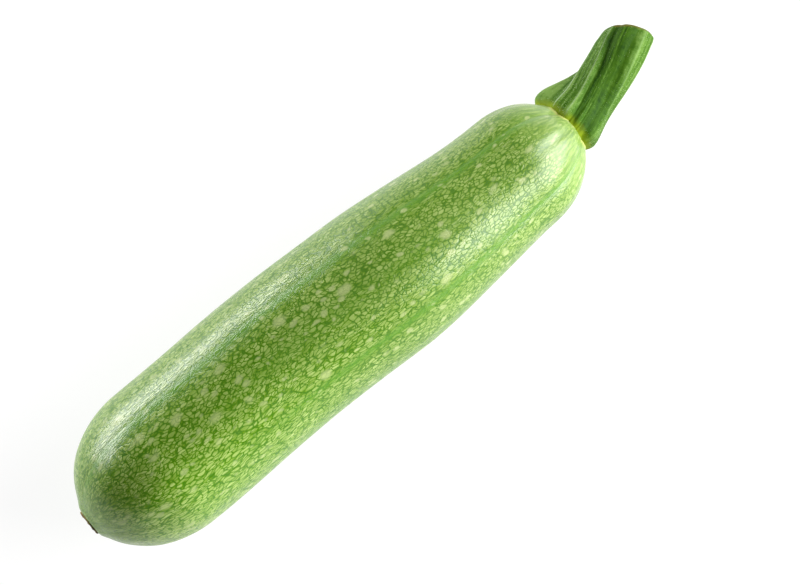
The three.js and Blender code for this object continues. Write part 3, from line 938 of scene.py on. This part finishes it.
class COURGETTE_OT_stem(bpy.types.Operator):
    """Builds the stem with its ridges, its channels and its cut end"""

    bl_idname = "courgette.stem"
    bl_label = "Stem"

    def execute(self, context):
        settings = context.scene.courgette_stem
        rows = round((STEM_LENGTH - STEM_START) / STEM_RING)
        stations = [mix(STEM_START, STEM_LENGTH, i / rows) for i in range(rows + 1)]
        sides = settings.columns * len(STEM_RIDGES)
        profile = [(STEM_START, 0)] + [(l, 1) for l in stations]
        profile += [(STEM_LENGTH, share) for share in CUT_RINGS]
        bm, places = wrapping(len(profile) - 1, sides)
        place = bm.verts.layers.float_vector.new("stem_place")
        bands = bm.verts.layers.float_vector.new("stem_bands")
        crest = bm.verts.layers.float.new("stem_crest_painted_highlight")
        skin = fruit_tree()
        for vert, (row, column) in zip(bm.verts, places):
            l, share = profile[row]
            i, part = stem_line(column, settings.columns)
            r, on_ridge, line = stem_surface(l, i, part)
            at_cut = row > len(stations)
            dish = CUT_DISH * smooth(1 - share, 0, DISH_RIM) if at_cut else 0
            turn = ridge_turn(l, i, part)
            vert.co = stem_point(l, turn, share * r, dish)
            vert[place] = (*ring_point(share * STEM_MAP, math.tau * column / sides), l)
            hit, normal, _, distance = skin.find_nearest(vert.co)
            foot = distance if (vert.co - hit).dot(normal) > 0 else 0
            brown = mix(DRIED_LEAST, 1, bell(turn_between(turn, DRIED_TURN), 0, DRIED_WIDTH))
            cut = 1 + (1 - share) if at_cut else brown * bell(l, STEM_LENGTH, DRIED_DEPTH)
            # Painted light on the back lobe.
            lobe = bell(l, BACK_LOBE_AT, BACK_LOBE_REACH)
            lobe *= bell(turn_between(turn, ridge_turn(l, 0, 0)), 0, LOBE_PAINTED_LIGHT_WIDTH)
            # The first band carries the channels' painted shade and the back lobe's painted light.
            vert[bands] = (on_ridge + LOBE_PAINTED_LIGHT * lobe, foot, cut)
            vert[crest] = 0 if at_cut else line
        closed(bm)
        stem = finished(bm, "stem_ridged", stem_material(settings), OFFSET)
        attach(stem, "root")
        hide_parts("stem")
        return {"FINISHED"}


def fruit_tree():
    """The finished fruit's surface, in its own millimetres, for measuring distances to it."""
    bm = bmesh.new()
    bm.from_mesh(bpy.data.objects["fruit_skin"].data)
    for vert in bm.verts:
        vert.co = vert.co / MM - OFFSET
    tree = BVHTree.FromBMesh(bm)
    bm.free()
    return tree


class COURGETTE_OT_hairs(bpy.types.Operator):
    """Builds the short hairs on the stem's ridges"""

    bl_idname = "courgette.hairs"
    bl_label = "Hairs"

    def execute(self, context):
        settings = context.scene.courgette_stem
        draw = random.Random(7)
        skin = fruit_tree()
        bm = bmesh.new()
        made = 0
        while made < settings.hairs:
            l = draw.uniform(HAIR_START, STEM_LENGTH - HAIR_GAP)
            i = draw.randrange(len(STEM_RIDGES))
            part = draw.random()
            r, on_ridge, _ = stem_surface(l, i, part)
            length = draw.uniform(HAIR_SHORTEST, 1) * settings.hair_length / MM
            lean = Vector([draw.gauss(0, HAIR_LEAN) for _ in range(3)])
            turn = ridge_turn(l, i, part)
            root = stem_point(l, turn, r - HAIR_ROOT)
            if draw.random() > HAIR_STRAY + on_ridge ** 2 or skin.find_nearest(root)[3] < HAIR_GAP:
                continue
            out = (stem_point(l, turn, r + 1) - root).normalized()
            way = (out + lean).normalized()
            turned = way.to_track_quat("Z", "Y").to_matrix().to_4x4()
            turned.translation = root + way * length / 2
            bmesh.ops.create_cone(bm, segments=3, radius1=HAIR_RADII[0], radius2=HAIR_RADII[1],
                                  depth=length, matrix=turned)
            made += 1
        hairs = finished(bm, "stem_hairs", hair_material(), OFFSET)
        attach(hairs, "root")
        return {"FINISHED"}


def scar_profile():
    """The scar's section from the middle of its top to the middle of its underside: x and radius."""
    top = []
    for i in range(SCAR_RINGS + 1):
        radius = SCAR_TOP * i / SCAR_RINGS
        top.append((-mix(SCAR_MIDDLE, SCAR_PROUD, smooth(radius / SCAR_RADIUS, *SCAR_DIP)), radius))
    quarter = [math.radians(degrees) for degrees in range(90, -1, -15)]
    edge = [(SCAR_EDGE * (1 - math.sin(a)) - SCAR_PROUD, SCAR_RADIUS - SCAR_EDGE * (1 - math.cos(a)))
            for a in quarter]
    side = [(SCAR_SINK * k / 3, SCAR_RADIUS) for k in (1, 2, 3)]
    return top + edge + side + [(SCAR_SINK, 0)]


def scar_burns(draw):
    """The burnt points round the scar's rim: turn, distance from the middle, size."""
    return [
        (360 * k / SCAR_BURNS + draw.uniform(-9, 9), SCAR_RADIUS - draw.uniform(0.2, 0.9),
         draw.uniform(0.6, 1.25))
        for k in range(SCAR_BURNS)
    ]


class COURGETTE_OT_scar(bpy.types.Operator):
    """Builds the corky scar that the flower left"""

    bl_idname = "courgette.scar"
    bl_label = "Blossom scar"

    def execute(self, context):
        settings = context.scene.courgette_scar
        profile = scar_profile()
        burns = scar_burns(random.Random(5))
        bm, places = wrapping(len(profile) - 1, SCAR_SIDES)
        bands = bm.verts.layers.float_vector.new("scar_bands")
        for vert, (row, column) in zip(bm.verts, places):
            x, radius = profile[row]
            turn = 360 * column / SCAR_SIDES
            angle = math.radians(turn)
            share = radius / SCAR_RADIUS
            burn = 0
            for at, out, size in burns:
                away = math.hypot(radius - out, math.radians(turn_between(turn, at)) * out)
                burn = max(burn, bell(away, 0, size * BURN_RADIUS))
            if x < 0:
                ripple = waves((*ring_point(radius, angle), 0), SCAR_RIPPLE_SPACING, seed=2)
                x += SCAR_RIPPLE * ripple * (1 - share ** 6) - BURN_HEIGHT * burn
            if share > SCAR_ROUND:
                wobble = waves((*ring_point(SCAR_WOBBLE_RING, angle), 1), SCAR_WOBBLE_SPACING, seed=4)
                radius *= 1 + SCAR_WOBBLE * wobble
            across, up = ring_point(radius, angle)
            vert.co = Vector((x, fruit_side(0) + across, fruit_drop(0) + up))
            growth = sum(strength * bell(share, at, width) for strength, at, width in SCAR_GROWTH)
            vert[bands] = (smooth(share, *SCAR_BROWN), burn, growth)
        closed(bm)
        scar = finished(bm, "blossom_scar_cork", cork_material(settings), OFFSET)
        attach(scar, "root")
        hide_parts("blossom_scar")
        return {"FINISHED"}


def look_from(obj, target, azimuth, elevation, distance):
    """Puts an object at a distance from a target and turns its -Z side to it."""
    away = Vector((math.sin(azimuth) * math.cos(elevation), -math.cos(azimuth) * math.cos(elevation),
                   math.sin(elevation)))
    obj.location = target + away * distance
    obj.rotation_mode = "QUATERNION"
    obj.rotation_quaternion = away.to_track_quat("Z", "Y")


def softbox(name, target, azimuth, elevation, distance, size, radiance):
    """A soft light: a rectangle of this size that glows as bright as radiance times white."""
    data = bpy.data.lights.new(name, "AREA")
    data.shape = "RECTANGLE"
    data.size, data.size_y = size
    data.energy = radiance * size[0] * size[1] * math.pi
    light = bpy.data.objects.new(name, data)
    light.visible_camera = False
    bpy.context.scene.collection.objects.link(light)
    look_from(light, target, azimuth, elevation, distance)


def stage_floor(scene, colour):
    """Opal acrylic lit from below: it stays white all over, and takes the shadow away."""
    bm = bmesh.new()
    bmesh.ops.create_circle(bm, cap_ends=True, segments=96, radius=FLOOR_RADIUS)
    mesh = bpy.data.meshes.new("floor")
    bm.to_mesh(mesh)
    bm.free()
    material, tree, output = new_material("opal_acrylic")
    shader = add_node(tree, "BsdfPrincipled", None,
                      {"Base Color": colour, "Roughness": 0.7,
                       "Emission Color": (1, 1, 1, 1), "Emission Strength": 0.85})
    tree.links.new(shader.outputs[0], output.inputs["Surface"])
    mesh.materials.append(material)
    floor = bpy.data.objects.new("floor", mesh)
    scene.collection.objects.link(floor)


def stage_sky(scene):
    """Light all round: bright near the horizon, dark straight above."""
    world = bpy.data.worlds.new("studio")
    scene.world = world
    world.use_nodes = True
    tree = world.node_tree
    tree.nodes.clear()
    way = add_node(tree, "TexCoord").outputs["Generated"]
    height = add_node(tree, "SeparateXYZ", None, {0: way}).outputs["Z"]
    glow = add_node(tree, "MapRange", EASED,
                    {"Value": height, "From Min": 0, "From Max": 0.2, "To Min": 0.8, "To Max": 0.01})
    sky = add_node(tree, "Background", None, {"Color": (1, 1, 1, 1), "Strength": glow.outputs[0]})
    tree.links.new(sky.outputs[0], add_node(tree, "OutputWorld").inputs["Surface"])


def stage_camera(scene, settings):
    """The camera that sees the courgette as the photograph does."""
    camera = bpy.data.objects.new("camera", bpy.data.cameras.new("camera"))
    scene.collection.objects.link(camera)
    camera.data.sensor_width = SENSOR_WIDTH
    camera.data.lens = settings.lens
    camera.data.clip_start = 0.01
    look_from(camera, Vector(CAMERA_TARGET) * MM, settings.azimuth, settings.elevation, settings.distance)
    scene.camera = camera


class COURGETTE_OT_stage(bpy.types.Operator):
    """Builds the floor, the lights and the camera"""

    bl_idname = "courgette.stage"
    bl_label = "Stage"

    def execute(self, context):
        settings = context.scene.courgette_stage
        stage_floor(context.scene, settings.floor)
        stage_sky(context.scene)
        for name, azimuth, elevation, distance, size, radiance in LIGHTS:
            softbox(name, Vector(LIT_POINT), math.radians(azimuth), math.radians(elevation),
                    distance, size, radiance)
        stage_camera(context.scene, settings)
        context.scene.view_settings.view_transform = "Standard"
        return {"FINISHED"}


class COURGETTE_PT_panel(bpy.types.Panel):
    """Lists the steps that build the courgette"""

    bl_label = "Courgette"
    bl_space_type = "VIEW_3D"
    bl_region_type = "UI"
    bl_category = "Courgette"

    def draw(self, context):
        for operator in OPERATORS:
            self.layout.operator(operator.bl_idname)


OPERATORS = (
    COURGETTE_OT_fruit,
    COURGETTE_OT_stem,
    COURGETTE_OT_hairs,
    COURGETTE_OT_scar,
    COURGETTE_OT_stage,
)
SETTINGS = {
    "courgette_skin": SkinSettings,
    "courgette_stem": StemSettings,
    "courgette_scar": ScarSettings,
    "courgette_stage": StageSettings,
}
CLASSES = (*SETTINGS.values(), *OPERATORS, COURGETTE_PT_panel)


def register():
    for cls in CLASSES:
        bpy.utils.register_class(cls)
    for name, cls in SETTINGS.items():
        setattr(bpy.types.Scene, name, PointerProperty(type=cls))


def unregister():
    for name in SETTINGS:
        delattr(bpy.types.Scene, name)
    for cls in reversed(CLASSES):
        bpy.utils.unregister_class(cls)


def main():
    register()
    bpy.ops.courgette.fruit()
    bpy.ops.courgette.stem()
    bpy.ops.courgette.hairs()
    bpy.ops.courgette.scar()
    bpy.ops.courgette.stage()
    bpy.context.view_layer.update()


if __name__ == "__main__":
    main()
